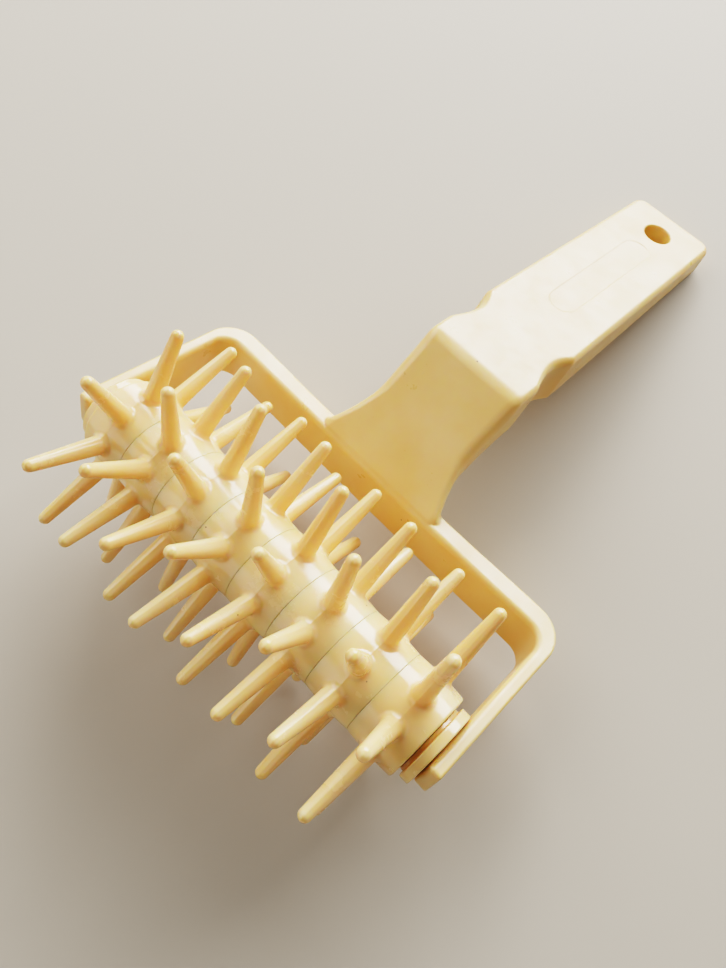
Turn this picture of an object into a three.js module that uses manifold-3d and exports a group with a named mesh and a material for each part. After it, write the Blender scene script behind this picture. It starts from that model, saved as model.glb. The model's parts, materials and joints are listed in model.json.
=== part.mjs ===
// Dough docker: a roller of eight spiked rings on a keyed axle, held in the yoke of one moulded handle.
// Millimetres. +X runs along the axle, +Y towards the handle, +Z up.
// The docker lies as on a table, on its lowest spikes and on the far end of its handle,
// and its origin is the middle of its bounding box on the table.
import * as THREE from 'three';
import { mergeVertices } from 'three/addons/utils/BufferGeometryUtils.js';
import Module from 'manifold-3d';

const wasm = await Module();
wasm.setup();

// Roller
const RING_COUNT = 8;
const RING_PITCH = 12.5;
const RING_GAP = 0.3;
const RING_RADIUS = 10.95;
const RING_EDGE_RADIUS = 10.7;
const RING_BORE_RADIUS = 5.0;
const SPIKES_PER_RING = 8;
const SPIKE_REACH = 30;
const SPIKE_BASE_RADIUS = 2.25;
const SPIKE_TIP_RADIUS = 1.45;
const SPIKE_ROOT_RADIUS = 7.5;
const SPIKE_SIDES = 8;
const ROLLER_ANGLE = 3.8;
const STAGGER_ANGLE = 360 / SPIKES_PER_RING / 2;
// Each ring sits a few degrees off its nominal angle, within the play of its keyways.
const RING_PLAY = [2, 4, -2, 0.5, -0.5, -2.5, 0, -2.5];

// Axle and end discs
const AXLE_RADIUS = 4.7;
const KEY_REACH = 6.3;
const KEY_WIDTH = 2.4;
const KEY_CLEARANCE = 0.3;
const KEY_SIDE_PLAY = 0.8;
const JOURNAL_RADIUS = 3.0;
const JOURNAL_HOLE_RADIUS = 3.3;
const DISC_RADIUS = 9.2;
const DISC_THICKNESS = 2.3;
const LEFT_DISC_X = -50.3 - DISC_THICKNESS;
const RIGHT_DISC_X = 51.0;
const HUB_RADIUS = 6.5;
const RIGHT_HUB_X = 50.15;

// Yoke, in the moulding's own frame: u runs from the axle to the handle, w is square to the yoke
const YOKE_HALF_WIDTH = 56.9;
const ARM_THICKNESS = 3.3;
const ARM_END_U = -6.9;
const CROSSBAR_INNER_U = 34.0;
const CROSSBAR_OUTER_U = 39.5;
const YOKE_TOP_W = 5.85;
const YOKE_BOTTOM_W = -6.35;
const YOKE_OUTER_CORNER = 8.0;
const YOKE_INNER_CORNER = 4.5;
const ARM_END_TOP_CORNER = 0.8;
const ARM_END_BOTTOM_CORNER = 4.0;

// Neck and handle
const WALL = 2.2;
const NECK_BASE_U = 36.0;
const NECK_BASE_HALF_WIDTH = 19.0;
const WAIST_U = 47.5;
const WAIST_HALF_WIDTH = 13.95;
const CREST_U = 59.9;
const CREST_W = 29.3;
const CREST_HALF_WIDTH = 14.45;
const NOTCH_U = 74.0;
const NOTCH_NEAR_LENGTH = 9.0;
const NOTCH_FAR_LENGTH = 6.4;
const NOTCH_DEPTH = 2.6;
const NOTCH_NEAR_POWER = 1.3;
const NOTCH_FAR_POWER = 0.8;
const HANDLE_END_U = 157.0;
const HANDLE_END_TOP_W = 34.7;
const HANDLE_END_BOTTOM_W = 27.6;
const HANDLE_END_HALF_WIDTH = 13.35;
const HANDLE_CORNER = 3.5;
const HANDLE_NEAR_BOTTOM_U = 68.0;
const HANDLE_NEAR_BOTTOM_W = 18.0;
const NECK_TOP_RIM_U = 57.5;
const NECK_TOP_RIM_W = 18.0;
const NECK_BOTTOM_W = 3.0;
const CAVITY_START_U = 42.0;
const HANG_HOLE_U = 145.8;
const HANG_HOLE_RADIUS = 3.9;
const HANG_BOSS_RADIUS = 5.9;
const PANEL_START_U = 93.0;
const PANEL_END_U = 137.0;
const PANEL_HALF_WIDTH = 4.0;
const PANEL_DEPTH = 0.4;

// Cuts run past the faces that they open, and whole-height plates run past the moulding.
const BEYOND = 5;
const BELOW_ALL_W = -10;
const ABOVE_ALL_W = 40;
const PAST_ALL_X = 30;

const ARC_STEPS = 5;
const NOTCH_STEPS = 5;
const ROUND_SIDES = 32;

// The moulding tips down from the axle until the end of its handle is level with the lowest spikes.
const MOULDING_TILT = Math.atan2(HANDLE_END_BOTTOM_W, HANDLE_END_U)
  + Math.asin(lowestSpikeDrop() / Math.hypot(HANDLE_END_U, HANDLE_END_BOTTOM_W));

const cream = new THREE.MeshStandardMaterial({ color: 0xf2dfac, roughness: 0.32, metalness: 0.0 });
const creamShade = new THREE.MeshStandardMaterial({ color: 0xe9cf93, roughness: 0.4, metalness: 0.0 });

// A ring's turn about the axle, in degrees from +Y towards +Z, with its first spike at that angle.
function ringAngle(index) {
  return ROLLER_ANGLE + RING_PLAY[index] - (index % 2) * STAGGER_ANGLE;
}

// How far below the axle the lowest spike reaches.
function lowestSpikeDrop() {
  let drop = 0;
  for (let index = 0; index < RING_COUNT; index += 1) {
    for (let spike = 0; spike < SPIKES_PER_RING; spike += 1) {
      const angle = THREE.MathUtils.degToRad(ringAngle(index) + spike * 360 / SPIKES_PER_RING);
      drop = Math.max(drop, SPIKE_TIP_RADIUS - (SPIKE_REACH - SPIKE_TIP_RADIUS) * Math.sin(angle));
    }
  }
  return drop;
}

// Solids

function solidOf(geometry) {
  const bare = geometry.clone();
  bare.deleteAttribute('normal');
  bare.deleteAttribute('uv');
  const merged = mergeVertices(bare, 1e-4);
  return new wasm.Manifold(new wasm.Mesh({
    numProp: 3,
    vertProperties: new Float32Array(merged.attributes.position.array),
    triVerts: new Uint32Array(merged.index.array),
  }));
}

function geometryOf(solid) {
  const mesh = solid.getMesh();
  const geometry = new THREE.BufferGeometry();
  geometry.setAttribute('position', new THREE.BufferAttribute(new Float32Array(mesh.vertProperties), 3));
  geometry.setIndex(new THREE.BufferAttribute(new Uint32Array(mesh.triVerts), 1));
  geometry.computeVertexNormals();
  return geometry;
}

function nodeOf(name, solid, material) {
  const mesh = new THREE.Mesh(geometryOf(solid), material);
  mesh.name = name;
  return mesh;
}

// A plate with the outline (x, u), from w = bottom to w = top.
function plateSolid(shape, bottom, top) {
  const geometry = new THREE.ExtrudeGeometry(shape, {
    depth: top - bottom,
    bevelEnabled: false,
    curveSegments: ARC_STEPS,
  });
  geometry.translate(0, 0, bottom);
  return solidOf(geometry);
}

// A plate with the outline (x, u) that reaches past the moulding above and below.
function tallPlate(shape) {
  return plateSolid(shape, BELOW_ALL_W, ABOVE_ALL_W);
}

// A prism with the side profile (u, w), from x = -halfWidth to x = +halfWidth.
function profileSolid(points, halfWidth) {
  const shape = new THREE.Shape(points.map(([u, w]) => new THREE.Vector2(u, w)));
  const geometry = new THREE.ExtrudeGeometry(shape, { depth: 2 * halfWidth, bevelEnabled: false });
  geometry.translate(0, 0, -halfWidth);
  const axes = new THREE.Matrix4().makeBasis(
    new THREE.Vector3(0, 1, 0),
    new THREE.Vector3(0, 0, 1),
    new THREE.Vector3(1, 0, 0),
  );
  geometry.applyMatrix4(axes);
  return solidOf(geometry);
}

// A body turned about the X axis from points (x, radius); a closed profile makes a ring.
function turnedSolid(points, sides) {
  const profile = points.map(([x, radius]) => new THREE.Vector2(radius, x));
  const geometry = new THREE.LatheGeometry(profile, sides);
  geometry.rotateZ(-Math.PI / 2);
  return solidOf(geometry);
}

function boxSolid(width, depth, height, centre) {
  const geometry = new THREE.BoxGeometry(width, depth, height);
  geometry.translate(...centre);
  return solidOf(geometry);
}

// Roller pieces, all about the X axis

function spikeSolid(angle) {
  const shoulder = SPIKE_REACH - SPIKE_TIP_RADIUS;
  const profile = [
    new THREE.Vector2(0, SPIKE_ROOT_RADIUS),
    new THREE.Vector2(SPIKE_BASE_RADIUS, SPIKE_ROOT_RADIUS),
    new THREE.Vector2(SPIKE_BASE_RADIUS, RING_RADIUS),
    new THREE.Vector2(SPIKE_TIP_RADIUS, shoulder),
    new THREE.Vector2(SPIKE_TIP_RADIUS * Math.SQRT1_2, shoulder + SPIKE_TIP_RADIUS * Math.SQRT1_2),
    new THREE.Vector2(0, SPIKE_REACH),
  ];
  const geometry = new THREE.LatheGeometry(profile, SPIKE_SIDES);
  geometry.rotateX(angle);
  return solidOf(geometry);
}

function keySolid(reach, width, length) {
  return boxSolid(length, 2 * reach, width, [0, 0, 0]);
}

// Odd and even rings differ only in where their spikes sit against the keyways.
function ringSolid(spikeAngle) {
  const half = (RING_PITCH - RING_GAP) / 2;
  let ring = turnedSolid([
    [-half, RING_BORE_RADIUS],
    [-half, RING_EDGE_RADIUS],
    [0, RING_RADIUS],
    [half, RING_EDGE_RADIUS],
    [half, RING_BORE_RADIUS],
    [-half, RING_BORE_RADIUS],
  ], ROUND_SIDES);
  for (let spike = 0; spike < SPIKES_PER_RING; spike += 1) {
    ring = ring.add(spikeSolid(spikeAngle + spike * 2 * Math.PI / SPIKES_PER_RING));
  }
  return ring.subtract(keySolid(KEY_REACH + KEY_CLEARANCE, KEY_WIDTH + 2 * KEY_SIDE_PLAY, RING_PITCH));
}

function axleSolid() {
  const core = RING_COUNT * RING_PITCH / 2;
  const end = YOKE_HALF_WIDTH - 0.3;
  const shaft = turnedSolid([
    [-end, 0],
    [-end, JOURNAL_RADIUS],
    [-core, JOURNAL_RADIUS],
    [-core, AXLE_RADIUS],
    [core, AXLE_RADIUS],
    [core, JOURNAL_RADIUS],
    [end, JOURNAL_RADIUS],
    [end, 0],
  ], ROUND_SIDES);
  return shaft.add(keySolid(KEY_REACH, KEY_WIDTH, 2 * core));
}

function washerSolid(startX, endX, radius) {
  return turnedSolid([
    [startX, JOURNAL_HOLE_RADIUS],
    [startX, radius],
    [endX, radius],
    [endX, JOURNAL_HOLE_RADIUS],
    [startX, JOURNAL_HOLE_RADIUS],
  ], ROUND_SIDES);
}

function discSolid(startX) {
  return washerSolid(startX, startX + DISC_THICKNESS, DISC_RADIUS);
}

// The right disc has a hub that keeps it off the last ring.
function rightDiscSolid() {
  return discSolid(RIGHT_DISC_X).add(washerSolid(RIGHT_HUB_X, RIGHT_DISC_X + DISC_THICKNESS / 2, HUB_RADIUS));
}

// The moulding: yoke, neck and handle in one piece

function yokeOutline(halfWidth, endU, outerU, corner) {
  const shape = new THREE.Shape();
  shape.moveTo(-halfWidth, endU);
  shape.lineTo(halfWidth, endU);
  shape.lineTo(halfWidth, outerU - corner);
  shape.absarc(halfWidth - corner, outerU - corner, corner, 0, Math.PI / 2, false);
  shape.lineTo(-halfWidth + corner, outerU);
  shape.absarc(-halfWidth + corner, outerU - corner, corner, Math.PI / 2, Math.PI, false);
  shape.closePath();
  return shape;
}

// The side view of an arm: a bar whose free end is eased at the top and well rounded underneath.
function armEndProfile() {
  const top = ARM_END_TOP_CORNER;
  const bottom = ARM_END_BOTTOM_CORNER;
  return [
    [CROSSBAR_OUTER_U + 1, YOKE_BOTTOM_W],
    [CROSSBAR_OUTER_U + 1, YOKE_TOP_W],
    [ARM_END_U + top, YOKE_TOP_W],
    [ARM_END_U + 0.3 * top, YOKE_TOP_W - 0.3 * top],
    [ARM_END_U, YOKE_TOP_W - top],
    [ARM_END_U, YOKE_BOTTOM_W + bottom],
    [ARM_END_U + 0.3 * bottom, YOKE_BOTTOM_W + 0.3 * bottom],
    [ARM_END_U + bottom, YOKE_BOTTOM_W],
  ];
}

function yokeSolid() {
  const outer = yokeOutline(YOKE_HALF_WIDTH, ARM_END_U, CROSSBAR_OUTER_U, YOKE_OUTER_CORNER);
  const innerHalfWidth = YOKE_HALF_WIDTH - ARM_THICKNESS;
  const inner = yokeOutline(innerHalfWidth, ARM_END_U - BEYOND, CROSSBAR_INNER_U, YOKE_INNER_CORNER);
  const band = plateSolid(outer, YOKE_BOTTOM_W, YOKE_TOP_W)
    .subtract(plateSolid(inner, YOKE_BOTTOM_W - BEYOND, YOKE_TOP_W + BEYOND))
    .intersect(profileSolid(armEndProfile(), YOKE_HALF_WIDTH + BEYOND));
  const axleHole = turnedSolid([
    [-YOKE_HALF_WIDTH - BEYOND, 0],
    [-YOKE_HALF_WIDTH - BEYOND, JOURNAL_HOLE_RADIUS],
    [YOKE_HALF_WIDTH + BEYOND, JOURNAL_HOLE_RADIUS],
    [YOKE_HALF_WIDTH + BEYOND, 0],
  ], ROUND_SIDES);
  return band.subtract(axleHole);
}

function straight(from, to, u) {
  return from[1] + (to[1] - from[1]) * (u - from[0]) / (to[0] - from[0]);
}

// How deep the finger notch is at u: it opens gently and closes more steeply.
function notchDepth(u) {
  const near = u < NOTCH_U;
  const share = (u - NOTCH_U) / (near ? NOTCH_NEAR_LENGTH : NOTCH_FAR_LENGTH);
  return NOTCH_DEPTH * Math.max(0, 1 - share ** 2) ** (near ? NOTCH_NEAR_POWER : NOTCH_FAR_POWER);
}

// Half the width of the neck and handle at u: a flare from the crossbar, a waist, the crest,
// the finger notch, and a slight taper to the end.
function handleHalfWidth(u) {
  if (u < WAIST_U) {
    const flare = Math.min(1, (WAIST_U - u) / (WAIST_U - NECK_BASE_U)) ** 1.5;
    return THREE.MathUtils.lerp(WAIST_HALF_WIDTH, NECK_BASE_HALF_WIDTH, flare);
  }
  if (u < CREST_U) {
    const swell = THREE.MathUtils.smoothstep(u, WAIST_U, CREST_U);
    return THREE.MathUtils.lerp(WAIST_HALF_WIDTH, CREST_HALF_WIDTH, swell);
  }
  const width = straight([CREST_U, CREST_HALF_WIDTH], [HANDLE_END_U, HANDLE_END_HALF_WIDTH], u);
  return width - notchDepth(u);
}

// The outline (x, u) of the neck and handle, drawn in by inset all round.
function handleOutline(startU, inset) {
  const endU = HANDLE_END_U - inset;
  const corner = HANDLE_CORNER - inset / 2;
  const stations = [];
  for (let u = startU; u < CREST_U; u += 2) {
    stations.push(u);
  }
  stations.push(CREST_U);
  for (let step = 0; step < NOTCH_STEPS; step += 1) {
    stations.push(NOTCH_U - NOTCH_NEAR_LENGTH * (1 - step / NOTCH_STEPS));
  }
  for (let step = 0; step <= NOTCH_STEPS; step += 1) {
    stations.push(NOTCH_U + NOTCH_FAR_LENGTH * step / NOTCH_STEPS);
  }
  const right = stations.map((u) => new THREE.Vector2(handleHalfWidth(u) - inset, u));
  const endHalfWidth = handleHalfWidth(endU) - inset;
  for (let step = 0; step <= ARC_STEPS; step += 1) {
    const angle = step / ARC_STEPS * Math.PI / 2;
    right.push(new THREE.Vector2(
      endHalfWidth - corner + corner * Math.cos(angle),
      endU - corner + corner * Math.sin(angle),
    ));
  }
  const left = right.map((point) => new THREE.Vector2(-point.x, point.y)).reverse();
  return new THREE.Shape([...right, ...left]);
}

function handleTopW(u) {
  return straight([CREST_U, CREST_W], [HANDLE_END_U, HANDLE_END_TOP_W], u);
}

function handleSolid() {
  const outerProfile = profileSolid([
    [CROSSBAR_INNER_U, NECK_BOTTOM_W],
    [CROSSBAR_OUTER_U, NECK_BOTTOM_W],
    [NECK_TOP_RIM_U, NECK_TOP_RIM_W],
    [HANDLE_NEAR_BOTTOM_U, HANDLE_NEAR_BOTTOM_W],
    [HANDLE_END_U, HANDLE_END_BOTTOM_W],
    [HANDLE_END_U + 1, HANDLE_END_TOP_W],
    [CREST_U, CREST_W],
    [CROSSBAR_INNER_U, YOKE_TOP_W],
  ], PAST_ALL_X);
  const neckSlope = (CREST_W - YOKE_TOP_W) / (CREST_U - CROSSBAR_INNER_U);
  const skinDrop = WALL * Math.hypot(1, neckSlope);
  const innerCrestU = CREST_U + WALL / 2;
  const cavityProfile = profileSolid([
    [CAVITY_START_U, NECK_BOTTOM_W - BEYOND],
    [HANDLE_END_U, NECK_BOTTOM_W - BEYOND],
    [HANDLE_END_U, HANDLE_END_TOP_W - WALL],
    [innerCrestU, handleTopW(innerCrestU) - WALL],
    [CAVITY_START_U, YOKE_TOP_W + neckSlope * (CAVITY_START_U - CROSSBAR_INNER_U) - skinDrop],
  ], PAST_ALL_X);
  const outside = tallPlate(handleOutline(CROSSBAR_INNER_U, 0)).intersect(outerProfile);
  const cavity = tallPlate(handleOutline(CAVITY_START_U, WALL)).intersect(cavityProfile);
  const boss = tallPlate(holeOutline(HANG_BOSS_RADIUS)).intersect(outerProfile);
  const hole = tallPlate(holeOutline(HANG_HOLE_RADIUS));
  return outside.subtract(cavity).add(boss).subtract(hole).subtract(panelSolid());
}

function holeOutline(radius) {
  const shape = new THREE.Shape();
  shape.absarc(0, HANG_HOLE_U, radius, 0, 2 * Math.PI, false);
  return shape;
}

// The shallow round-ended panel sunk in the top of the handle.
function panelSolid() {
  const shape = new THREE.Shape();
  shape.absarc(0, PANEL_END_U - PANEL_HALF_WIDTH, PANEL_HALF_WIDTH, 0, Math.PI, false);
  shape.absarc(0, PANEL_START_U + PANEL_HALF_WIDTH, PANEL_HALF_WIDTH, Math.PI, 2 * Math.PI, false);
  shape.closePath();
  const floorProfile = profileSolid([
    [PANEL_START_U - 1, handleTopW(PANEL_START_U - 1) - PANEL_DEPTH],
    [PANEL_END_U + 1, handleTopW(PANEL_END_U + 1) - PANEL_DEPTH],
    [PANEL_END_U + 1, HANDLE_END_TOP_W + 2],
    [PANEL_START_U - 1, HANDLE_END_TOP_W + 2],
  ], PANEL_HALF_WIDTH + 1);
  return tallPlate(shape).intersect(floorProfile);
}

// Assembly

const docker = new THREE.Group();

const moulding = new THREE.Group();
moulding.rotation.x = -MOULDING_TILT;
moulding.add(nodeOf('handle_yoke', yokeSolid().add(handleSolid()), cream));
docker.add(moulding);

const roller = new THREE.Group();
roller.rotation.x = THREE.MathUtils.degToRad(ROLLER_ANGLE);
roller.add(nodeOf('axle', axleSolid(), creamShade));
roller.add(nodeOf('end_disc_left', discSolid(LEFT_DISC_X), cream));
roller.add(nodeOf('end_disc_right', rightDiscSolid(), cream));
for (let index = 0; index < RING_COUNT; index += 1) {
  const stagger = index % 2 === 0 ? 0 : -THREE.MathUtils.degToRad(STAGGER_ANGLE);
  const ring = nodeOf(`ring_${index + 1}`, ringSolid(stagger), cream);
  ring.position.x = (index - (RING_COUNT - 1) / 2) * RING_PITCH;
  ring.rotation.x = THREE.MathUtils.degToRad(RING_PLAY[index]);
  roller.add(ring);
}
docker.add(roller);

docker.updateMatrixWorld(true);
const box = new THREE.Box3().setFromObject(docker, true);
docker.position.set(-(box.min.x + box.max.x) / 2, -(box.min.y + box.max.y) / 2, -box.min.z);

export default docker;
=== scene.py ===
"""The looks of a plastic dough docker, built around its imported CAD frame.

Shapes are distance fields in millimetres: negative inside the plastic, positive outside. A field's
zero surface becomes the mesh, so every fillet and rounded edge is real geometry. The axle lies along X.
The moulding has a frame of its own: u runs from the axle along the yoke to the handle, and w is square
to the yoke. Names that end in _U or _W are places in that frame.
"""

import json
import math

import bpy
import numpy as np
from mathutils import Euler, Matrix, Vector


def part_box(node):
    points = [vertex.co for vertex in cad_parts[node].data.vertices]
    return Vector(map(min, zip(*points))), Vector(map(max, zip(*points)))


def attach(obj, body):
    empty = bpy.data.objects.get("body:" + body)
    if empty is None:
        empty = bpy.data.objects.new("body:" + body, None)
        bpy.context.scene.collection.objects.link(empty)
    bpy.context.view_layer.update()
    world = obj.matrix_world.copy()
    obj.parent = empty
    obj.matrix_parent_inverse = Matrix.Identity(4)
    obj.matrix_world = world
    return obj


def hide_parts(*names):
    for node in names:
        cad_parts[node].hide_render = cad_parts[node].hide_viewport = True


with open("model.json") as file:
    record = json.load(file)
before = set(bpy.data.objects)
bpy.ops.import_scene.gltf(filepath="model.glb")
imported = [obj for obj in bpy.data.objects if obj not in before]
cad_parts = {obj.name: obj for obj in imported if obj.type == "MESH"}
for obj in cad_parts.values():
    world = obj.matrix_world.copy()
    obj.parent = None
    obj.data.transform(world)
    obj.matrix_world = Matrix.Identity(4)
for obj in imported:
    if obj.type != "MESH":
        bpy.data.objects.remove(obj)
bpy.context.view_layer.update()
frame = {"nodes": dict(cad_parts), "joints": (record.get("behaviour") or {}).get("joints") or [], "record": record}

MM = 0.001

# ---------------------------------------------------------------- where the CAD frame puts things

AXLE_Y, AXLE_Z = (value / MM for value in frame["joints"][0]["pos_m"][1:])
RINGS = sorted(name for name in frame["nodes"] if name.startswith("ring_"))
DISCS = ("end_disc_left", "end_disc_right")
HANDLE_TOP_NORMAL = frame["record"]["mounts"][0]["axis"]


def node_span(node, axis):
    """The lowest and highest place of a CAD node along an axis, in millimetres."""
    low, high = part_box(node)
    return low[axis] / MM, high[axis] / MM


# ---------------------------------------------------------------- fields

def rounded_and(a, b, radius):
    """What is in both solids, with the edge between them rounded."""
    corner = np.hypot(np.maximum(a + radius, 0), np.maximum(b + radius, 0))
    return np.minimum(np.maximum(a, b), -radius) + corner


def rounded_or(a, b, radius):
    """What is in either solid, with a fillet where they meet."""
    corner = np.hypot(np.maximum(radius - a, 0), np.maximum(radius - b, 0))
    return np.maximum(np.minimum(a, b), radius) - corner


def rise(value, start, end):
    """0 up to start, 1 from end on, and a smooth step between them."""
    share = np.clip((value - start) / (end - start), 0, 1)
    return share * share * (3 - 2 * share)


def mixed(a, b, share):
    """a where share is 0, b where it is 1."""
    return a + (b - a) * share


# ---------------------------------------------------------------- meshing

CORNERS = np.array([(i, j, k) for i in (0, 1) for j in (0, 1) for k in (0, 1)])
EDGES = [(a, b) for a in range(8) for b in range(a + 1, 8) if abs(CORNERS[a] - CORNERS[b]).sum() == 1]
MARGIN_CELLS = 2.2
FINE_STEP = 0.1
FINE_REACH = 0.6
PROBE = 0.02
LEAST_SQUARED_SLOPE = 0.05  # keeps a step short where a field is nearly flat
SETTLING_ROUNDS = 3
EVENING_ROUNDS = 3
# how far out from the surface the field is read to find how much painted shade a crease gets
CREASE_SHADE_REACH = 1.6


def stations(low, high, step, fine_at=()):
    """Grid places from a little below low to a little above high, closer together around fine_at."""
    margin = MARGIN_CELLS * step
    places = np.arange(low - margin, high + margin + step, step)
    for centre in fine_at:
        places = places[abs(places - centre) > FINE_REACH]
        places = np.append(places, np.arange(centre - FINE_REACH, centre + FINE_REACH + 1e-6, FINE_STEP))
    return np.sort(places)


def net(field, axes):
    """Points and quads of the zero surface: one point in each grid cell that the surface crosses."""
    values = field(*np.meshgrid(*axes, indexing="ij", sparse=True))
    inside = values < 0
    size = [n - 1 for n in inside.shape]
    count = np.zeros(size, np.uint8)
    for i, j, k in CORNERS:
        count += inside[i:i + size[0], j:j + size[1], k:k + size[2]]
    cells = np.argwhere((count > 0) & (count < len(CORNERS)))
    index = np.full(size, -1)
    index[tuple(cells.T)] = np.arange(len(cells))

    place = [np.stack([axes[k][cells[:, k] + corner[k]] for k in range(3)], axis=1) for corner in CORNERS]
    value = [values[tuple((cells + corner).T)] for corner in CORNERS]
    points = np.zeros((len(cells), 3))
    crossings = np.zeros((len(cells), 1))
    for a, b in EDGES:
        cut = (value[a] < 0) != (value[b] < 0)
        share = np.where(cut, value[a] / np.where(cut, value[a] - value[b], 1), 0)[:, None]
        points += cut[:, None] * (place[a] + share * (place[b] - place[a]))
        crossings += cut[:, None]
    points /= crossings

    quads = []
    step = np.eye(3, dtype=int)
    for axis in range(3):
        across, along = step[(axis + 1) % 3], step[(axis + 2) % 3]
        before = inside.take(range(size[axis]), axis)
        after = inside.take(range(1, size[axis] + 1), axis)
        at = np.argwhere(before != after)
        around = (0 * across, across, across + along, along)
        quad = np.stack([index[tuple((at - shift).T)] for shift in around], axis=1)
        inward = ~before[tuple(at.T)]
        quad[inward] = quad[inward][:, ::-1]
        quads.append(quad)
    return points, np.concatenate(quads)


def slope_at(field, points):
    """The field's gradient at each point."""
    return np.stack([
        (field(*(points + PROBE * axis).T) - field(*(points - PROBE * axis).T)) / (2 * PROBE)
        for axis in np.eye(3)
    ], axis=1)


def settled(field, points):
    """The points moved onto the zero surface."""
    for _ in range(SETTLING_ROUNDS):
        slope = slope_at(field, points)
        squared_slope = np.maximum((slope ** 2).sum(axis=1), LEAST_SQUARED_SLOPE)
        points = points - slope * (field(*points.T) / squared_slope)[:, None]
    return points


def evened(points, quads):
    """Each point moved halfway to the middle of the faces around it."""
    middles = points[quads].mean(axis=1)
    corners = quads.ravel()
    faces = np.bincount(corners, minlength=len(points))
    around = [
        np.bincount(corners, np.repeat(middles[:, k], 4), len(points)) / faces
        for k in range(3)
    ]
    return (points + np.stack(around, axis=1)) / 2


def surface(field, axes):
    """Points, quads and unit normals of a field's zero surface."""
    points, quads = net(field, axes)
    points = settled(field, points)
    for _ in range(EVENING_ROUNDS):
        points = settled(field, evened(points, quads))
    normals = slope_at(field, points)
    normals /= np.linalg.norm(normals, axis=1, keepdims=True)
    return points, quads, normals


def crease_shade_at(field, points, normals):
    """How much painted shade a point gets: 0 where it looks out into the open, up to 1 where more of the piece is
    close above it.
    """
    return np.clip(1 - field(*(points + CREASE_SHADE_REACH * normals).T) / CREASE_SHADE_REACH, 0, 1)


def build(node, field, axes, to_part, slot, body):
    """A piece with the shape of a field and the plastic of a slot, riding on a body in a node's place."""
    points, quads, normals = surface(field, axes)
    name = node + "_moulding"
    mesh = bpy.data.meshes.new(name)
    mesh.from_pydata(((points @ to_part[:3, :3].T + to_part[:3, 3]) * MM).tolist(), [], quads.tolist())
    mesh.shade_smooth()
    mesh.normals_split_custom_set_from_vertices((normals @ to_part[:3, :3].T).tolist())
    # painted shade: how deep in a crease each point lies, which the plastic turns darker and warmer
    crease_shade = mesh.attributes.new("crease_shade", "FLOAT", "POINT")
    crease_shade.data.foreach_set("value", crease_shade_at(field, points, normals).astype(np.float32))
    mesh.materials.append(PLASTICS[slot])
    piece = bpy.data.objects.new(name, mesh)
    bpy.context.scene.collection.objects.link(piece)
    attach(piece, body)
    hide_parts(node)


# ---------------------------------------------------------------- materials

FLECK = (0.16, 0.10, 0.05)
FLECK_CELLS_PER_METRE = 260
FLECK_SIZE = 0.07
FLECK_SHARE = 0.06
SCUFF = (0.74, 0.52, 0.25)
SCUFFS_PER_METRE = 420
SCUFF_TURN = (0.2, 0.1, 0.7)
SCUFF_STRETCH = (1.0, 0.18, 1.0)
SCUFF_START = 0.76
SCUFF_FULL = 0.88
MOTTLES_PER_METRE = 60
MOTTLE_STRENGTH = 0.35
# how far creases are mixed towards the deep colour as painted shade
CREASE_SHADE_STRENGTH = 0.9
WEAR_PER_METRE = 140
GLOSSIER = 0.07
DULLER = 0.12
PEEL_PER_METRE = 300
PEEL_STRENGTH = 0.08
PEEL_HEIGHT = 0.0001
SCATTER_WEIGHT = 0.75
SCATTER_RADIUS = (1.0, 0.60, 0.19)
REFRACTIVE_INDEX = 1.49
SPECULAR_LEVEL = 0.85


def add_node(tree, kind, **settings):
    node = tree.nodes.new(kind)
    for name, value in settings.items():
        setattr(node, name, value)
    return node


def own_space(tree):
    """Places in the piece's own space, in metres."""
    return add_node(tree, "ShaderNodeTexCoord").outputs["Object"]


def noise(tree, per_metre, detail, roughness=0.5):
    """Noise from 0 to 1, in cycles per metre."""
    made = add_node(tree, "ShaderNodeTexNoise")
    made.inputs["Scale"].default_value = per_metre
    made.inputs["Detail"].default_value = detail
    made.inputs["Roughness"].default_value = roughness
    tree.links.new(own_space(tree), made.inputs["Vector"])
    return made.outputs["Fac"]


def ranged(tree, source, low, high, to_low, to_high):
    """source, mapped from low..high to to_low..to_high."""
    made = add_node(tree, "ShaderNodeMapRange", interpolation_type="SMOOTHSTEP")
    for name, value in zip(("From Min", "From Max", "To Min", "To Max"), (low, high, to_low, to_high)):
        made.inputs[name].default_value = value
    tree.links.new(source, made.inputs["Value"])
    return made.outputs["Result"]


def combined(tree, operation, first, second):
    made = add_node(tree, "ShaderNodeMath", operation=operation)
    tree.links.new(first, made.inputs[0])
    tree.links.new(second, made.inputs[1])
    return made.outputs["Value"]


def mixed_colour(tree, factor, first, second):
    """first where factor is 0, second where it is 1. Either can be a colour or a socket."""
    made = add_node(tree, "ShaderNodeMix", data_type="RGBA")
    tree.links.new(factor, made.inputs["Factor"])
    for name, value in (("A", first), ("B", second)):
        socket = next(s for s in made.inputs if s.name == name and s.type == "RGBA")
        if isinstance(value, bpy.types.NodeSocket):
            tree.links.new(value, socket)
        else:
            socket.default_value = (*value, 1)
    return next(s for s in made.outputs if s.type == "RGBA")


def flecks(tree):
    """1 in small round specks, 0 elsewhere: a few of the cells of a Voronoi pattern hold one each."""
    cells = add_node(tree, "ShaderNodeTexVoronoi")
    cells.inputs["Scale"].default_value = FLECK_CELLS_PER_METRE
    tree.links.new(own_space(tree), cells.inputs["Vector"])
    spot = ranged(tree, cells.outputs["Distance"], FLECK_SIZE / 2, FLECK_SIZE, 1, 0)
    lot = add_node(tree, "ShaderNodeSeparateColor")
    tree.links.new(cells.outputs["Color"], lot.inputs["Color"])
    chosen = ranged(tree, lot.outputs["Red"], 1 - FLECK_SHARE, 1.001 - FLECK_SHARE, 0, 1)
    return combined(tree, "MULTIPLY", spot, chosen)


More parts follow.
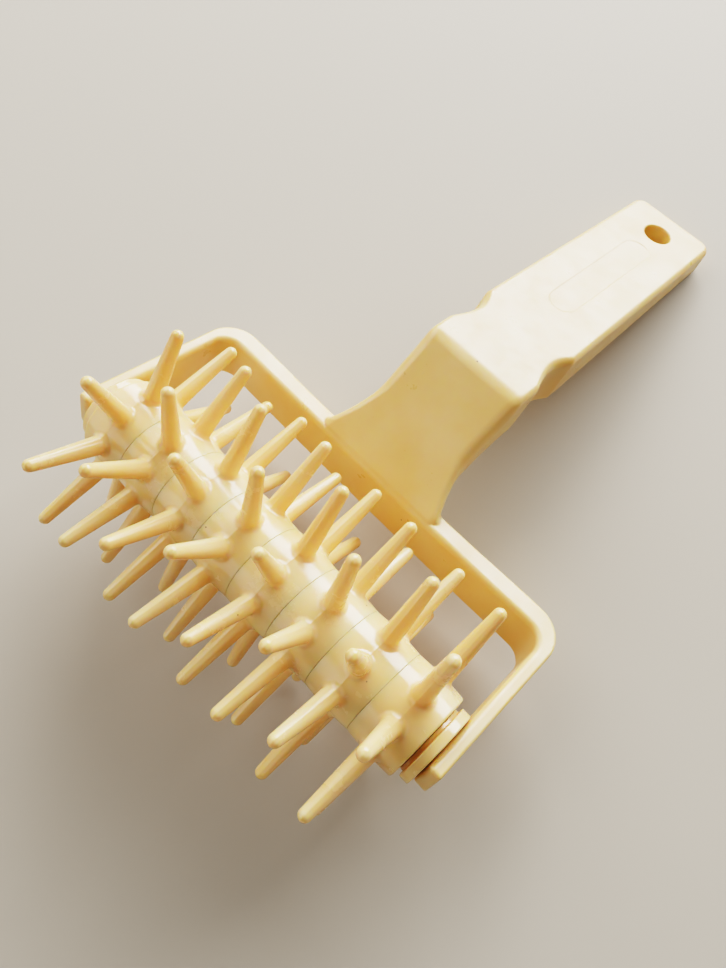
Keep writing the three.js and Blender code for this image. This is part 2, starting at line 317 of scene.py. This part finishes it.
def scuffs(tree):
    """1 in a few short faint streaks, 0 elsewhere."""
    stretched = add_node(tree, "ShaderNodeMapping")
    stretched.inputs["Rotation"].default_value = SCUFF_TURN
    stretched.inputs["Scale"].default_value = SCUFF_STRETCH
    tree.links.new(own_space(tree), stretched.inputs["Vector"])
    streaks = add_node(tree, "ShaderNodeTexNoise")
    streaks.inputs["Scale"].default_value = SCUFFS_PER_METRE
    tree.links.new(stretched.outputs["Vector"], streaks.inputs["Vector"])
    return ranged(tree, streaks.outputs["Fac"], SCUFF_START, SCUFF_FULL, 0, 1)


def plastic(name, colour, mottle_and_shade_colour, roughness, scatter_depth):
    """Cream moulded plastic: light goes into it and comes back warmer. It is faintly mottled, flecked and
    scuffed here and there, and its gloss is uneven from handling. Its creases and fillets get painted
    shade: their colour is mixed towards a deeper, warmer one."""
    material = bpy.data.materials.new(name)
    material.use_nodes = True
    tree = material.node_tree
    shader = tree.nodes["Principled BSDF"]

    mottle = ranged(tree, noise(tree, MOTTLES_PER_METRE, detail=4), 0.35, 0.65, 0, MOTTLE_STRENGTH)
    # painted shade: the creases and fillets of each piece are mixed towards the deep colour
    crease_shade_source = add_node(tree, "ShaderNodeAttribute", attribute_name="crease_shade")
    crease_shade = ranged(tree, crease_shade_source.outputs["Fac"], 0.1, 0.9, 0, CREASE_SHADE_STRENGTH)
    mottled_and_shaded = mixed_colour(tree, combined(tree, "ADD", mottle, crease_shade), colour, mottle_and_shade_colour)
    flecked = mixed_colour(tree, flecks(tree), mottled_and_shaded, FLECK)
    scuffed = mixed_colour(tree, scuffs(tree), flecked, SCUFF)
    tree.links.new(scuffed, shader.inputs["Base Color"])

    wear = noise(tree, WEAR_PER_METRE, detail=5, roughness=0.65)
    gloss = ranged(tree, wear, 0.3, 0.75, roughness - GLOSSIER, roughness + DULLER)
    tree.links.new(gloss, shader.inputs["Roughness"])

    peel = add_node(tree, "ShaderNodeBump")
    peel.inputs["Strength"].default_value = PEEL_STRENGTH
    peel.inputs["Distance"].default_value = PEEL_HEIGHT
    tree.links.new(noise(tree, PEEL_PER_METRE, detail=1), peel.inputs["Height"])
    tree.links.new(peel.outputs["Normal"], shader.inputs["Normal"])

    shader.inputs["IOR"].default_value = REFRACTIVE_INDEX
    shader.inputs["Specular IOR Level"].default_value = SPECULAR_LEVEL
    shader.inputs["Subsurface Weight"].default_value = SCATTER_WEIGHT
    shader.inputs["Subsurface Radius"].default_value = SCATTER_RADIUS
    shader.inputs["Subsurface Scale"].default_value = scatter_depth
    return material


# Painted light and shade: the roller's cream is lighter and the handle's darker than the plastic's own colour,
# standing in for more light on the roller and less on the handle.
LOOKS = {
    # slot: colour, deep colour for mottling and for painted shade in creases, roughness, depth that light goes
    # into it in metres
    "handle_plastic": ((0.81, 0.585, 0.28), (0.77, 0.45, 0.13), 0.34, 0.0018),
    "roller_plastic": ((0.98, 0.665, 0.34), (0.96, 0.51, 0.16), 0.20, 0.0026),
    "axle_plastic": ((0.90, 0.62, 0.22), (0.84, 0.50, 0.14), 0.30, 0.0026),
}
PLASTICS = {slot: plastic(slot, *look) for slot, look in LOOKS.items()}

# ---------------------------------------------------------------- the moulding: yoke, neck and handle

MOULDING_CELL = 0.5
WALL = 2.2

YOKE_HALF_WIDTH = node_span("handle_yoke", 0)[1]
ARM_THICKNESS = 3.3
ARM_END_U = -6.9
ARM_END_TOP_CORNER = 0.8
ARM_END_BOTTOM_CORNER = 4.0
CROSSBAR_INNER_U = 34.0
CROSSBAR_OUTER_U = 39.5
CROSSBAR_BOW_HALF_WIDTH = 45.0
CROSSBAR_INNER_BOW = 0.5
CROSSBAR_OUTER_BOW = 0.9
YOKE_TOP_W = 5.85
YOKE_BOTTOM_W = -6.35
YOKE_OUTER_CORNER = 8.0
YOKE_INNER_CORNER = 4.5
YOKE_EDGE = 0.5
YOKE_INNER_EDGE = 1.4
YOKE_INNER_EDGE_BLEND = 2.0
JOURNAL_HOLE_RADIUS = 3.3
JOURNAL_HOLE_EDGE = 0.5

NECK_BASE_U = 36.0
NECK_BASE_HALF_WIDTH = 19.0
NECK_FLARE_POWER = 1.5
NECK_BOTTOM_W = 3.0
NECK_TOP_RIM_U = 57.5
NECK_EDGE = 2.8
LEAST_NECK_FILLET = 0.01
NECK_FILLET_GAIN = 1.0
NECK_FILLET_START_U = CROSSBAR_INNER_U + 1.0
NECK_FILLET_FULL_U = CROSSBAR_INNER_U + 3.0
WAIST_U = 47.5
WAIST_HALF_WIDTH = 13.95
CREST_U = 59.9
CREST_W = 29.3
CREST_HALF_WIDTH = 14.3
CREST_EDGE = 1.3

HANDLE_START_HALF_WIDTH = 14.7
HANDLE_END_U = 157.0
HANDLE_END_TOP_W = 34.7
HANDLE_END_BOTTOM_W = 27.6
HANDLE_END_HALF_WIDTH = 13.35
HANDLE_NEAR_BOTTOM_U = 68.0
HANDLE_NEAR_BOTTOM_W = 18.0
HANDLE_CORNER = 3.5
HANDLE_EDGE = 1.7
HANDLE_EDGE_BLEND = 4.0
RIM_EDGE = 0.6
RIM_BEND = 4.0
DRAFT = 0.015
DRAFT_DEPTH = 14.0
CAVITY_START_U = 42.0
CAVITY_CORNER = 2.0
CAVITY_TOP_CORNER = 1.2
CAVITY_EDGE = 0.4

NOTCH_U = 76.8
NOTCH_NEAR_LENGTH = 9.3
NOTCH_FAR_LENGTH = 6.3
NOTCH_POWER = 1.3
NOTCH_DEPTH = 2.2
NOTCH_LEAN = 0.42
NOTCH_EDGE_GAIN = 0.4

HANG_HOLE_U = 145.8
HANG_HOLE_RADIUS = 3.9
HANG_HOLE_EDGE = 0.6
HANG_BOSS_RADIUS = 5.9
HANG_BOSS_TOP_DEPTH = 1.0
HANG_BOSS_FILLET = 0.8
PANEL_START_U = 93.0
PANEL_END_U = 137.0
PANEL_HALF_WIDTH = 4.0
PANEL_DEPTH = 0.15
PANEL_STEP = 0.6

HANDLE_SLOPE = (HANDLE_END_TOP_W - CREST_W) / (HANDLE_END_U - CREST_U)
TILT = math.atan(HANDLE_SLOPE) + math.atan2(HANDLE_TOP_NORMAL[1], HANDLE_TOP_NORMAL[2])
MOULDING_TO_PART = np.array(
    Matrix.Translation((0, AXLE_Y, AXLE_Z)) @ Matrix.Rotation(-TILT, 4, "X")
)


def line(start, end):
    """The height above the straight line from start to end, in (u, w), as a field of u and w."""
    slope = (end[1] - start[1]) / (end[0] - start[0])
    scale = 1 / math.hypot(1, slope)
    return lambda u, w: (w - start[1] - slope * (u - start[0])) * scale


above_handle = line((CREST_U, CREST_W), (HANDLE_END_U, HANDLE_END_TOP_W))
above_neck = line((CROSSBAR_INNER_U, YOKE_TOP_W), (CREST_U, CREST_W))
above_neck_rim = line((CROSSBAR_OUTER_U, NECK_BOTTOM_W), (NECK_TOP_RIM_U, HANDLE_NEAR_BOTTOM_W))
above_handle_rim = line((HANDLE_NEAR_BOTTOM_U, HANDLE_NEAR_BOTTOM_W), (HANDLE_END_U, HANDLE_END_BOTTOM_W))


def crossbar_bow(x):
    """1 in the middle of the crossbar, falling to 0 towards the arms."""
    return np.maximum(1 - (x / CROSSBAR_BOW_HALF_WIDTH) ** 2, 0)


def yoke_block(x, u, w):
    """The outside of the yoke, still filled between its arms."""
    past_outer_face = u - CROSSBAR_OUTER_U + CROSSBAR_OUTER_BOW * crossbar_bow(x)
    outer = rounded_and(abs(x) - YOKE_HALF_WIDTH, past_outer_face, YOKE_OUTER_CORNER)
    side = rounded_and(w - YOKE_TOP_W, ARM_END_U - u, ARM_END_TOP_CORNER)
    side = rounded_and(side, YOKE_BOTTOM_W - w, ARM_END_BOTTOM_CORNER)
    return rounded_and(outer, side, YOKE_EDGE)


def yoke_opening(x, u):
    """The space between the arms, up to the crossbar, which bows a little towards the roller."""
    past_inner_face = u - CROSSBAR_INNER_U + CROSSBAR_INNER_BOW * crossbar_bow(x)
    return rounded_and(abs(x) - YOKE_HALF_WIDTH + ARM_THICKNESS, past_inner_face, YOKE_INNER_CORNER)


def notch_share(u, depth):
    """The finger notch at u, at a depth under the top: 1 where it is deepest, 0 outside it. It opens
    gently, closes more steeply, and leans towards the roller on its way down."""
    from_notch = u - NOTCH_U + NOTCH_LEAN * depth
    share = from_notch / np.where(from_notch < 0, NOTCH_NEAR_LENGTH, NOTCH_FAR_LENGTH)
    return np.maximum(1 - share ** 2, 0) ** NOTCH_POWER


def handle_half_width(u, depth):
    """Half the width of the neck and handle at u, at a depth under the top: flare, waist, crest, finger
    notch and taper, with the draft that lets the moulding leave its mould."""
    flare = np.clip((WAIST_U - u) / (WAIST_U - NECK_BASE_U), 0, 1) ** NECK_FLARE_POWER
    below_waist = mixed(WAIST_HALF_WIDTH, NECK_BASE_HALF_WIDTH, flare)
    neck = mixed(below_waist, CREST_HALF_WIDTH, rise(u, WAIST_U, CREST_U))
    taper = (u - CREST_U) / (HANDLE_END_U - CREST_U)
    handle = mixed(HANDLE_START_HALF_WIDTH, HANDLE_END_HALF_WIDTH, taper)
    past_notch = rise(u, NOTCH_U - NOTCH_NEAR_LENGTH, NOTCH_U + NOTCH_NEAR_LENGTH)
    return mixed(neck, handle, past_notch) + DRAFT * depth - NOTCH_DEPTH * notch_share(u, depth)


def panel_drop(x, u):
    """How far the round-ended panel lowers the top of the handle."""
    middle = np.clip(u, PANEL_START_U + PANEL_HALF_WIDTH, PANEL_END_U - PANEL_HALF_WIDTH)
    within = PANEL_HALF_WIDTH - np.hypot(x, u - middle)
    return PANEL_DEPTH * rise(within, -PANEL_STEP / 2, PANEL_STEP / 2)


def handle_skin(side, top, x, u):
    """The outside of the neck and handle: their sides and top, with the far end."""
    plan = rounded_and(side, u - HANDLE_END_U, HANDLE_CORNER)
    on_handle = rise(u, CREST_U - HANDLE_EDGE_BLEND, CREST_U + HANDLE_EDGE_BLEND)
    edge = mixed(NECK_EDGE, HANDLE_EDGE, on_handle)
    edge = edge + NOTCH_EDGE_GAIN * notch_share(u, edge / 2)
    return rounded_and(plan, top + panel_drop(x, u), edge)


def handle_cavity(side, top, u):
    """The space inside the walls of the neck and handle, open underneath."""
    plan = rounded_and(side + WALL, u - HANDLE_END_U + WALL, CAVITY_CORNER)
    plan = rounded_and(plan, CAVITY_START_U - u, CAVITY_CORNER)
    return rounded_and(plan, top + WALL, CAVITY_TOP_CORNER)


def handle_rim(u, w):
    """Everything above the line where the walls of the neck and handle end underneath."""
    near_rim = np.maximum(NECK_BOTTOM_W - w, -above_neck_rim(u, w))
    far_rim = np.maximum(HANDLE_NEAR_BOTTOM_W - w, -above_handle_rim(u, w))
    return rounded_or(near_rim, far_rim, RIM_BEND)


def handle_field(x, u, w):
    """The neck and handle: walls around a cavity, with a hanging hole through a boss."""
    depth = CREST_W + HANDLE_SLOPE * (u - CREST_U) - w
    side = abs(x) - handle_half_width(u, np.clip(depth, 0, DRAFT_DEPTH))
    top = rounded_and(above_handle(u, w), above_neck(u, w), CREST_EDGE)
    shell = rounded_and(handle_skin(side, top, x, u), -handle_cavity(side, top, u), CAVITY_EDGE)

    from_hole = np.hypot(x, u - HANG_HOLE_U)
    boss = np.maximum(from_hole - HANG_BOSS_RADIUS, top + HANG_BOSS_TOP_DEPTH)
    shell = rounded_or(shell, boss, HANG_BOSS_FILLET)
    shell = rounded_and(shell, handle_rim(u, w), RIM_EDGE)
    return rounded_and(shell, HANG_HOLE_RADIUS - from_hole, HANG_HOLE_EDGE)


def moulding_field(x, u, w):
    """The whole moulding. The slope of the neck rises from the crossbar's inner edge, so the fillet
    between them fades away there."""
    fillet = LEAST_NECK_FILLET + NECK_FILLET_GAIN * rise(u, NECK_FILLET_START_U, NECK_FILLET_FULL_U)
    whole = rounded_or(yoke_block(x, u, w), handle_field(x, u, w), fillet)
    upper_half = rise(w, -YOKE_INNER_EDGE_BLEND, YOKE_INNER_EDGE_BLEND)
    whole = rounded_and(whole, -yoke_opening(x, u), mixed(YOKE_EDGE, YOKE_INNER_EDGE, upper_half))
    return rounded_and(whole, JOURNAL_HOLE_RADIUS - np.hypot(u, w), JOURNAL_HOLE_EDGE)


def make_moulding():
    panel_sides = (-PANEL_HALF_WIDTH, PANEL_HALF_WIDTH)
    axes = (
        stations(-YOKE_HALF_WIDTH, YOKE_HALF_WIDTH, MOULDING_CELL, panel_sides),
        stations(ARM_END_U, HANDLE_END_U, MOULDING_CELL, (PANEL_START_U, PANEL_END_U)),
        stations(YOKE_BOTTOM_W, HANDLE_END_TOP_W, MOULDING_CELL),
    )
    build("handle_yoke", moulding_field, axes, MOULDING_TO_PART, "handle_plastic", "frame")


# ---------------------------------------------------------------- the roller: rings, axle and discs

RING_CELL = 0.3
AXLE_CELL = 0.42
DISC_CELL = 0.2

RING_PITCH = node_span("ring_2", 0)[0] - node_span("ring_1", 0)[0]
ROLLER_HALF_LENGTH = len(RINGS) * RING_PITCH / 2
RING_SEAM = 0.006
RING_RADIUS = 11.0
RING_EDGE_RADIUS = 10.6
RING_EDGE = 0.09
ROLLER_END_EDGE = 0.5
ROLLER_END_REACH = 1.0  # edges this near to the roller's ends are the rounder ones
RING_BORE_RADIUS = 5.0

SPIKES_PER_RING = 8
SPIKE_STEP = 2 * math.pi / SPIKES_PER_RING
SPIKE_REACH = 30.0
SPIKE_TIP_BAND = 0.2  # CAD corners this near to SPIKE_REACH belong to tips
SPIKE_FOOT = 6.5  # where a spike starts, hidden inside its ring
SPIKE_BASE_RADIUS = 2.25
SPIKE_TIP_RADIUS = 1.45
SPIKE_FILLET = 1.1
LOWEST_CLIMB = -0.3  # a spike goes on widening below the ring's skin as far as this
SHORTENING = 0.3
LEAN = 0.3
LEAN_POWER = 1.5
SPIKE_SEED = 11
PARTING_HEIGHT = 0.04
PARTING_WIDTH = 0.24

AXLE_RADIUS = 4.7
AXLE_END_DEPTH = 0.3
AXLE_END_EDGE = 0.5
JOURNAL_RADIUS = 3.0
KEY_REACH = 6.3
KEY_WIDTH = 2.4
KEY_CLEARANCE = 0.3
KEY_SIDE_PLAY = 0.8

DISC_THICKNESS = 2.3
DISC_EDGE = 0.35
HUB_RADIUS = 8.0

ROLLER_TO_PART = np.array(Matrix.Translation((0, AXLE_Y, AXLE_Z)))


def spike_phase(node):
    """The angle of a ring's spikes about the axle, from where the CAD node's spike tips are."""
    corners = np.array([vertex.co for vertex in frame["nodes"][node].data.vertices]) / MM
    y, z = corners[:, 1] - AXLE_Y, corners[:, 2] - AXLE_Z
    tips = np.hypot(y, z) > SPIKE_REACH - SPIKE_TIP_BAND
    turns = np.exp(1j * SPIKES_PER_RING * np.arctan2(z[tips], y[tips]))
    return np.angle(turns.mean()) / SPIKES_PER_RING


def bore_field(rho, y, z):
    """The hole through a ring, with a keyway on each side."""
    keyway = np.maximum(abs(z) - KEY_WIDTH / 2 - KEY_SIDE_PLAY, abs(y) - KEY_REACH - KEY_CLEARANCE)
    return np.minimum(rho - RING_BORE_RADIUS, keyway)


def ring_field(centre, half, phase, shorter, lean):
    """A ring with its spikes. Each spike is a little shorter than nominal and leans a little along the
    axle. A fine parting line runs around the ring and over every spike. The edges at the two ends of the
    roller are rounder than those between rings."""
    def field(x, y, z):
        at_roller_end = abs(x) > ROLLER_HALF_LENGTH - ROLLER_END_REACH
        x = x - centre
        rho = np.hypot(y, z)
        turn = (np.arctan2(z, y) - phase) / SPIKE_STEP
        nearest = np.round(turn)
        spike = nearest.astype(int) % SPIKES_PER_RING
        angle = (turn - nearest) * SPIKE_STEP
        along, aside = rho * np.cos(angle), rho * np.sin(angle)

        shoulder = SPIKE_REACH - SPIKE_TIP_RADIUS - shorter[spike]
        climb = np.clip((along - RING_RADIUS) / (shoulder - RING_RADIUS), LOWEST_CLIMB, 1)
        from_parting = x - lean[spike] * np.maximum(climb, 0) ** LEAN_POWER
        parting = PARTING_HEIGHT * np.exp(-(from_parting / PARTING_WIDTH) ** 2)
        off = np.hypot(from_parting, aside)
        shaft = off - mixed(SPIKE_BASE_RADIUS, SPIKE_TIP_RADIUS, climb) - parting
        tip = np.hypot(off, np.maximum(along - shoulder, 0)) - SPIKE_TIP_RADIUS - parting
        spikes = np.maximum(np.where(along > shoulder, tip, shaft), SPIKE_FOOT - along)

        skin = rho - mixed(RING_RADIUS, RING_EDGE_RADIUS, abs(x) / half) - parting
        body = rounded_and(skin, abs(x) - half, np.where(at_roller_end, ROLLER_END_EDGE, RING_EDGE))
        return np.maximum(rounded_or(body, spikes, SPIKE_FILLET), -bore_field(rho, y, z))
    return field


def axle_field(x, y, z):
    """A keyed core as long as the rings, with journals that stop just short of the arms' outer faces."""
    rho = np.hypot(y, z)
    keys = np.maximum(abs(z) - KEY_WIDTH / 2, abs(y) - KEY_REACH)
    core = np.maximum(np.minimum(rho - AXLE_RADIUS, keys), abs(x) - ROLLER_HALF_LENGTH)
    past_end = abs(x) - YOKE_HALF_WIDTH + AXLE_END_DEPTH
    return np.minimum(core, rounded_and(rho - JOURNAL_RADIUS, past_end, AXLE_END_EDGE))


def disc_field(low, high, radius):
    """A thin disc at the high end of its node, with a hub from there down to the node's low end."""
    def field(x, y, z):
        rho = np.hypot(y, z)
        plate = rounded_and(rho - radius, np.maximum(high - DISC_THICKNESS - x, x - high), DISC_EDGE)
        hub = np.maximum(rho - HUB_RADIUS, np.maximum(low - x, x - high))
        return np.maximum(np.minimum(plate, hub), JOURNAL_HOLE_RADIUS - rho)
    return field


def make_rings():
    random = np.random.default_rng(SPIKE_SEED)
    half = (RING_PITCH - RING_SEAM) / 2
    across = stations(-SPIKE_REACH, SPIKE_REACH, RING_CELL)
    for node in RINGS:
        centre = sum(node_span(node, 0)) / 2
        shorter = random.uniform(0.0, SHORTENING, SPIKES_PER_RING)
        lean = random.uniform(-LEAN, LEAN, SPIKES_PER_RING)
        low, high = centre - half, centre + half
        axes = (stations(low, high, RING_CELL, (low, centre, high)), across, across)
        field = ring_field(centre, half, spike_phase(node), shorter, lean)
        build(node, field, axes, ROLLER_TO_PART, "roller_plastic", "roller")


def make_axle():
    low, high = node_span("axle", 0)
    across = stations(-KEY_REACH, KEY_REACH, AXLE_CELL)
    axes = (stations(low, high, AXLE_CELL), across, across)
    build("axle", axle_field, axes, ROLLER_TO_PART, "axle_plastic", "roller")


def make_discs():
    for node in DISCS:
        low, high = node_span(node, 0)
        radius = node_span(node, 1)[1] - AXLE_Y
        across = stations(-radius, radius, RING_CELL)
        axes = (stations(low, high, DISC_CELL), across, across)
        build(node, disc_field(low, high, radius), axes, ROLLER_TO_PART, "roller_plastic", "roller")


make_moulding()
make_rings()
make_axle()
make_discs()

# ---------------------------------------------------------------- floor, light and camera

FLOOR_HALF = 3.0
FLOOR_COLOUR = (0.50, 0.45, 0.385)
FLOOR_ROUGHNESS = 0.75
WORLD_COLOUR = (1.0, 0.95, 0.88)
WORLD_STRENGTH = 0.015
LIGHTS = (
    # name, place and size in metres, watts, colour
    ("window", (-0.31, 1.02, 0.545), (1.3, 0.75), 31.0, (0.96, 0.985, 1.0)),
    ("left", (-0.75, 0.05, 0.70), (0.8, 0.8), 4.3, (1.0, 0.99, 0.97)),
    ("right", (0.70, -0.25, 0.95), (1.0, 1.0), 2.0, (1.0, 0.92, 0.77)),
    ("front", (-0.45, -0.90, 0.45), (0.8, 0.8), 2.6, (1.0, 0.985, 0.95)),
)
CAMERA_PLACE = (0.04625, -0.07715, 0.19229)
CAMERA_TURN_DEGREES = (20.506, 0.458, 46.037)
CAMERA_LENS = 28.41
CAMERA_SENSOR = 36.0
CAMERA_NEAREST = 0.01


def make_floor():
    mesh = bpy.data.meshes.new("floor")
    corners = [(-FLOOR_HALF, -FLOOR_HALF, 0), (FLOOR_HALF, -FLOOR_HALF, 0),
               (FLOOR_HALF, FLOOR_HALF, 0), (-FLOOR_HALF, FLOOR_HALF, 0)]
    mesh.from_pydata(corners, [], [(0, 1, 2, 3)])
    material = bpy.data.materials.new("floor")
    material.use_nodes = True
    shader = material.node_tree.nodes["Principled BSDF"]
    shader.inputs["Base Color"].default_value = (*FLOOR_COLOUR, 1)
    shader.inputs["Roughness"].default_value = FLOOR_ROUGHNESS
    mesh.materials.append(material)
    floor = bpy.data.objects.new("floor", mesh)
    bpy.context.scene.collection.objects.link(floor)


def add_world():
    world = bpy.data.worlds.new("studio")
    world.use_nodes = True
    background = world.node_tree.nodes["Background"]
    background.inputs["Color"].default_value = (*WORLD_COLOUR, 1)
    background.inputs["Strength"].default_value = WORLD_STRENGTH
    bpy.context.scene.world = world


def add_light(name, place, size, watts, colour):
    """A rectangular soft light at place, facing the origin."""
    data = bpy.data.lights.new(name, "AREA")
    data.shape = "RECTANGLE"
    data.size, data.size_y = size
    data.energy = watts
    data.color = colour
    light = bpy.data.objects.new(name, data)
    light.location = place
    light.rotation_euler = (-Vector(place)).to_track_quat("-Z", "Y").to_euler()
    bpy.context.scene.collection.objects.link(light)


def add_camera():
    """The camera where the photograph was taken from: close above the roller's near end."""
    data = bpy.data.cameras.new("camera")
    data.sensor_width = CAMERA_SENSOR
    data.lens = CAMERA_LENS
    data.clip_start = CAMERA_NEAREST
    camera = bpy.data.objects.new("camera", data)
    turn = Euler([math.radians(angle) for angle in CAMERA_TURN_DEGREES])
    camera.matrix_world = Matrix.LocRotScale(Vector(CAMERA_PLACE), turn, None)
    bpy.context.scene.collection.objects.link(camera)
    bpy.context.scene.camera = camera


make_floor()
add_world()
for light in LIGHTS:
    add_light(*light)
add_camera()
bpy.context.scene.view_settings.view_transform = "Filmic"
bpy.context.scene.view_settings.look = "Very High Contrast"
